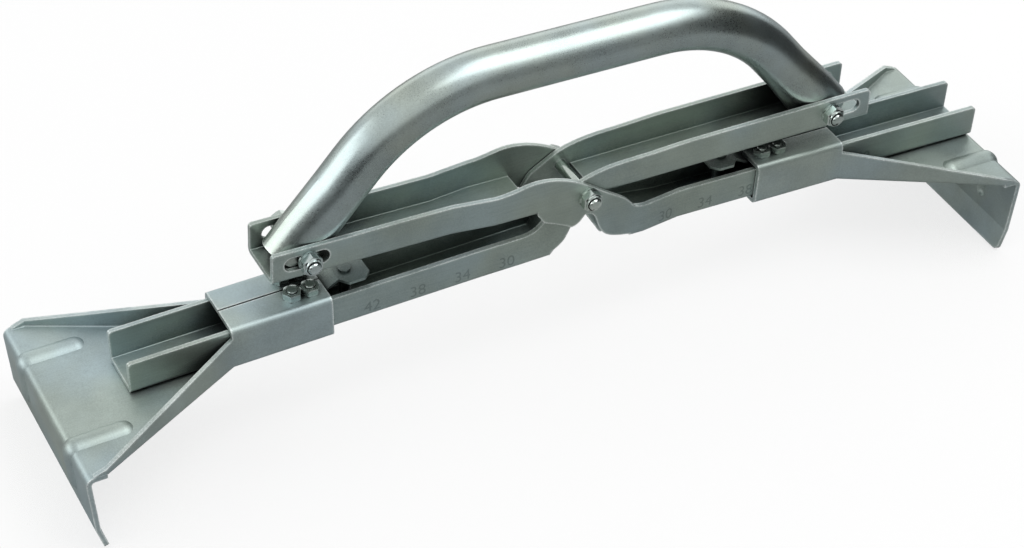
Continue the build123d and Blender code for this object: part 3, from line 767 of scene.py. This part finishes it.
class CLAMP_OT_latch_nuts(bpy.types.Operator):
    """Small nuts on the shoes' boxes and the threaded ends of the latch screws"""

    bl_idname = "clamp.latch_nuts"
    bl_label = "Latch nuts"

    def execute(self, context):
        look = context.scene.clamp_finish
        sizes = context.scene.clamp_fasteners
        bright = zinc(
            "small_nut_zinc", look.nut_colour, look.edge_rub_and_highlight_colour, roughness=0.16, streaks=0.1, rub_and_highlight_share=0.4)
        paint([f"{side}_latch_screws" for side in SIDES], bright)
        copies = copies_tree()
        threads = thread_tree()
        pattern = template("latch_nut_template", hexagon_nut(
            sizes.nut_flats, sizes.nut_height, sizes.screw_diameter + NUT_PLAY))
        for side in SIDES:
            up = Vector(JOINTS[f"{side}_latch_lift"]["axis"])
            along = Vector(JOINTS[f"{side}_shoe_slide"]["axis"])
            axes = Matrix((along, up.cross(along), up)).transposed()
            turn = (axes @ Matrix.Rotation(math.radians(30), 3, "Z")).to_euler()
            spots = self.nut_spots(side, axes)
            values = {"Template": pattern, "Turn": turn, "Material": bright}
            mesh = on_points(copies, spots, values)
            crisp(mesh)
            nuts = piece(f"{side}_latch_nuts_detail", mesh, f"{side}_shoe")
            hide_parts(f"{side}_latch_nuts")
            values = {
                "Radius": sizes.screw_diameter / 2 - SCREW_THREAD_DEPTH, "Pitch": sizes.screw_pitch,
                "Turns": float(THREAD_TURNS), "Turn": turn, "Material": bright,
            }
            top = sizes.nut_height + sizes.screw_end - SCREW_THREAD_INSET
            reach = top - THREAD_TURNS * sizes.screw_pitch
            mesh = on_points(threads, [spot + up * reach for spot in spots], values)
            crisp(mesh)
            piece(f"{side}_latch_screw_threads", mesh, f"{side}_shoe")
        bpy.data.objects.remove(pattern)
        return {"FINISHED"}

    def nut_spots(self, side, axes):
        """Middles of the four nuts' undersides, from the corners of the CAD nuts."""
        mesh = frame["nodes"][f"{side}_latch_nuts"].data
        local = [axes.transposed() @ vertex.co for vertex in mesh.vertices]
        low = Vector([min(point[axis] for point in local) for axis in range(3)])
        high = Vector([max(point[axis] for point in local) for axis in range(3)])
        flats = bpy.context.scene.clamp_fasteners.nut_flats
        corner = flats / math.cos(math.radians(30)) / 2
        return [
            axes @ Vector((x, y, low.z))
            for x in (low.x + flats / 2, high.x - flats / 2)
            for y in (low.y + corner, high.y - corner)
        ]


# Height of a digit in its font's line, and half the thickness of the digits
DIGIT_SHARE = 0.7
DIGIT_THICKNESS = 0.02 * MM


class CLAMP_OT_numbers(bpy.types.Operator):
    """Plain scale numbers stamped on the front of the arms, darkened with painted shade for the stamped
    recesses
    """

    bl_idname = "clamp.numbers"
    bl_label = "Scale numbers"

    def execute(self, context):
        look = context.scene.clamp_finish
        marks = context.scene.clamp_numbers
        # Painted shade: the digits are a darker copy of the lever zinc, in place of the shade in stamped
        # recesses
        painted_stamp_shade = [channel * STAMP_PAINTED_SHADE for channel in look.lever_colour]
        stamp_shade_zinc = zinc("stamp_painted_shade_zinc", painted_stamp_shade, look.edge_rub_and_highlight_colour, roughness=0.5, streaks=0.1, rub_and_highlight_share=0)
        for side in SIDES:
            along = Vector(JOINTS[f"{side}_shoe_slide"]["axis"])
            up = Vector(JOINTS[f"{side}_latch_lift"]["axis"])
            across = along if along.x > 0 else -along
            shape = bmesh.new()
            for index in range(marks.count):
                place = PIVOT + along * (marks.start + index * marks.pitch) - up * marks.drop
                place.x += marks.shift
                place.y = 0
                digits = self.digits(str(marks.first + index * marks.step), marks.height)
                digits.transform(Matrix((
                    (across.x, up.x, 0, place.x),
                    (0, 0, -1, place.y),
                    (across.z, up.z, 0, place.z),
                    (0, 0, 0, 1),
                )))
                shape.from_mesh(digits)
                bpy.data.meshes.remove(digits)
            mesh = bpy.data.meshes.new(f"{side}_scale_numbers")
            shape.to_mesh(mesh)
            shape.free()
            self.lay(mesh, ARM_LEVERS[side])
            mesh.materials.clear()
            mesh.materials.append(stamp_shade_zinc)
            piece(f"{side}_scale_numbers", mesh, ARM_LEVERS[side])
        return {"FINISHED"}

    def lay(self, mesh, lever):
        """Moves the digits on to the near wall of a lever."""
        solid = frame["nodes"][lever].data
        corners = [vertex.co for vertex in solid.vertices]
        wall = BVHTree.FromPolygons(corners, [polygon.vertices for polygon in solid.polygons])
        for vertex in mesh.vertices:
            start = Vector((vertex.co.x, CAD_BOX[0][1], vertex.co.z))
            hit = wall.ray_cast(start, Vector((0, 1, 0)))[0]
            if hit is None:
                raise RuntimeError(f"a scale number lies off the {lever}")
            vertex.co.y += hit.y

    def digits(self, text, height):
        """Thin mesh of a number, centred, in its own plane."""
        curve = bpy.data.curves.new("digits", "FONT")
        curve.body = text
        curve.size = height / DIGIT_SHARE
        curve.extrude = DIGIT_THICKNESS
        curve.align_x = "CENTER"
        curve.align_y = "CENTER"
        curve.resolution_u = 6
        carrier = bpy.data.objects.new("digits", curve)
        bpy.context.collection.objects.link(carrier)
        evaluated = carrier.evaluated_get(bpy.context.evaluated_depsgraph_get())
        mesh = bpy.data.meshes.new_from_object(evaluated)
        bpy.data.objects.remove(carrier)
        return mesh


# Place, width and height, and power in watts of each soft lamp
LAMPS = {
    "overhead_lamp": ((0.55, -0.28, 1.5), (1.4, 1.2), 11),
    "left_lamp": ((-1.8, 0.45, 0.98), (2.3, 0.9), 12),
    "back_lamp": ((0.9, 1.7, 0.6), (3.2, 1.1), 5.5),
}
# First and last angle in degrees, and grey, of each screen on an upright oval round the clamp
SCREENS = {
    "left_screen": (-165, -92, 0.02),
    "front_screen": (-92, -22, 0.31),
    "right_screen": (-22, 4, 0.02),
}
SCREEN_MIDDLE = -0.25
SCREEN_WIDTH = 0.62
SCREEN_DEPTH = 1.0
SCREEN_HEIGHT = 0.42
SCREEN_SEGMENTS = 16
SKY_MIRRORED = 0.6
FLOOR_HALF = 6
FLOOR_DROP = 0.1 * MM
FLOOR_MIRRORED = 0.06
FLOOR_MIRRORED_SHADE = 0.36
FLOOR_SEE_THROUGH = 0.75
SENSOR_WIDTH = 36


class CLAMP_OT_stage(bpy.types.Operator):
    """Pale floor, soft lamps, curved screens, white surroundings and the camera"""

    bl_idname = "clamp.stage"
    bl_label = "Studio"

    def execute(self, context):
        stage = context.scene.clamp_stage
        context.scene.view_settings.view_transform = "Standard"
        self.floor(stage)
        self.surroundings(stage)
        for name, (place, size, power) in LAMPS.items():
            self.lamp(name, place, size, power)
        for name, (first, last, grey) in SCREENS.items():
            self.screen(name, first, last, grey)
        self.camera(stage)
        return {"FINISHED"}

    def seen(self, finish, mirrored):
        """1 for what the camera or glass sees, a share for what metal mirrors, 0 for plain lighting."""
        camera = finish.node("ShaderNodeLightPath", output="Is Camera Ray")
        glossy = finish.node("ShaderNodeLightPath", output="Is Glossy Ray")
        glass = finish.node("ShaderNodeLightPath", output="Is Transmission Ray")
        return camera.largest(glossy * mirrored).largest(glass)

    def floor(self, stage):
        """Pale floor that metal mirrors darker and that lets part of the white surroundings through."""
        material = bpy.data.materials.new("pale_floor")
        finish = Finish(material)
        mirrored = finish.node("ShaderNodeLightPath", output="Is Glossy Ray")
        darker = shade(stage.floor_colour, FLOOR_MIRRORED_SHADE)
        pale = finish.mix(mirrored, shade(stage.floor_colour, 1), darker)
        plain = finish.node("ShaderNodeBsdfDiffuse", None, {"Color": pale})
        through = finish.node("ShaderNodeBsdfTransparent")
        share = self.seen(finish, FLOOR_MIRRORED) * FLOOR_SEE_THROUGH
        finish.surface(finish.node("ShaderNodeMixShader", None, {0: share, 1: plain, 2: through}))
        level = CAD_BOX[0][2] - FLOOR_DROP
        signs = ((-1, -1), (1, -1), (1, 1), (-1, 1))
        corners = [(x * FLOOR_HALF, y * FLOOR_HALF, level) for x, y in signs]
        mesh = bpy.data.meshes.new("floor")
        mesh.from_pydata(corners, [], [(0, 1, 2, 3)])
        mesh.materials.append(material)
        floor = bpy.data.objects.new("floor", mesh)
        bpy.context.collection.objects.link(floor)

    def screen(self, name, first, last, grey):
        """Curved screen from the first to the last angle of the oval, which only the metal mirrors."""
        material = bpy.data.materials.new(name)
        finish = Finish(material)
        finish.surface(finish.node("ShaderNodeBsdfDiffuse", None, {"Color": (grey, grey, grey, 1)}))
        corners = []
        for step in range(SCREEN_SEGMENTS + 1):
            angle = math.radians(first + (last - first) * step / SCREEN_SEGMENTS)
            across = SCREEN_MIDDLE + SCREEN_WIDTH * math.cos(angle)
            for level in (0, SCREEN_HEIGHT):
                corners.append((across, SCREEN_DEPTH * math.sin(angle), level))
        faces = [(2 * step, 2 * step + 2, 2 * step + 3, 2 * step + 1) for step in range(SCREEN_SEGMENTS)]
        mesh = bpy.data.meshes.new(name)
        mesh.from_pydata(corners, [], faces)
        mesh.materials.append(material)
        made = bpy.data.objects.new(name, mesh)
        bpy.context.collection.objects.link(made)
        made.visible_camera = False
        made.visible_diffuse = False
        made.visible_shadow = False

    def surroundings(self, stage):
        """White surroundings, dimmer where they light or mirror in the clamp."""
        world = bpy.data.worlds.new("studio")
        bpy.context.scene.world = world
        finish = Finish(world)
        strength = stage.ambient + self.seen(finish, SKY_MIRRORED) * (1 - stage.ambient)
        sky = finish.node("ShaderNodeBackground", None, {"Color": (1, 1, 1, 1), "Strength": strength})
        finish.surface(sky, "ShaderNodeOutputWorld")

    def lamp(self, name, place, size, power):
        """Soft lamp of that width and height, which points at the middle of the clamp."""
        light = bpy.data.lights.new(name, "AREA")
        light.shape = "RECTANGLE"
        light.size, light.size_y = size
        light.energy = power
        lamp = bpy.data.objects.new(name, light)
        aim = (Vector(CAD_BOX[0]) + Vector(CAD_BOX[1])) / 2 - Vector(place)
        lamp.matrix_world = Matrix.Translation(place) @ aim.to_track_quat("-Z", "Y").to_matrix().to_4x4()
        bpy.context.collection.objects.link(lamp)

    def camera(self, stage):
        """Camera at the photograph's viewing angle."""
        data = bpy.data.cameras.new("camera")
        data.sensor_fit = "HORIZONTAL"
        data.sensor_width = SENSOR_WIDTH
        data.lens = stage.lens
        data.shift_x, data.shift_y = stage.shift
        level = math.cos(stage.elevation)
        back = Vector((
            math.sin(stage.azimuth) * level, -math.cos(stage.azimuth) * level, math.sin(stage.elevation)))
        right = Vector((0, 0, 1)).cross(back).normalized()
        upright = Matrix((right, back.cross(right), back)).transposed()
        turned = upright @ Matrix.Rotation(stage.roll, 3, "Z")
        camera = bpy.data.objects.new("camera", data)
        camera.matrix_world = Matrix.Translation(stage.camera_place) @ turned.to_4x4()
        bpy.context.collection.objects.link(camera)
        bpy.context.scene.camera = camera


GROUPS = {
    "clamp_finish": ClampFinish,
    "clamp_numbers": ClampNumbers,
    "clamp_fasteners": ClampFasteners,
    "clamp_stage": ClampStage,
}
OPERATORS = (
    CLAMP_OT_levers,
    CLAMP_OT_shoes,
    CLAMP_OT_handle,
    CLAMP_OT_latches,
    CLAMP_OT_bolts,
    CLAMP_OT_latch_nuts,
    CLAMP_OT_numbers,
    CLAMP_OT_stage,
)


class CLAMP_PT_sidebar(bpy.types.Panel):
    """Steps that dress the clamp and the sizes and colours they use"""

    bl_idname = "CLAMP_PT_sidebar"
    bl_label = "Slab lifting clamp"
    bl_space_type = "VIEW_3D"
    bl_region_type = "UI"
    bl_category = "Clamp"

    def draw(self, context):
        for operator in OPERATORS:
            self.layout.operator(operator.bl_idname)
        for name, group in GROUPS.items():
            box = self.layout.box()
            for field in group.__annotations__:
                box.prop(getattr(context.scene, name), field)


CLASSES = (*GROUPS.values(), *OPERATORS, CLAMP_PT_sidebar)


def register():
    for kind in CLASSES:
        bpy.utils.register_class(kind)
    for name, group in GROUPS.items():
        setattr(bpy.types.Scene, name, PointerProperty(type=group))


def unregister():
    for name in GROUPS:
        delattr(bpy.types.Scene, name)
    for kind in reversed(CLASSES):
        bpy.utils.unregister_class(kind)


def main():
    register()
    bpy.ops.clamp.levers()
    bpy.ops.clamp.shoes()
    bpy.ops.clamp.handle()
    bpy.ops.clamp.latches()
    bpy.ops.clamp.bolts()
    bpy.ops.clamp.latch_nuts()
    bpy.ops.clamp.numbers()
    bpy.ops.clamp.stage()


if __name__ == "__main__":
    main()
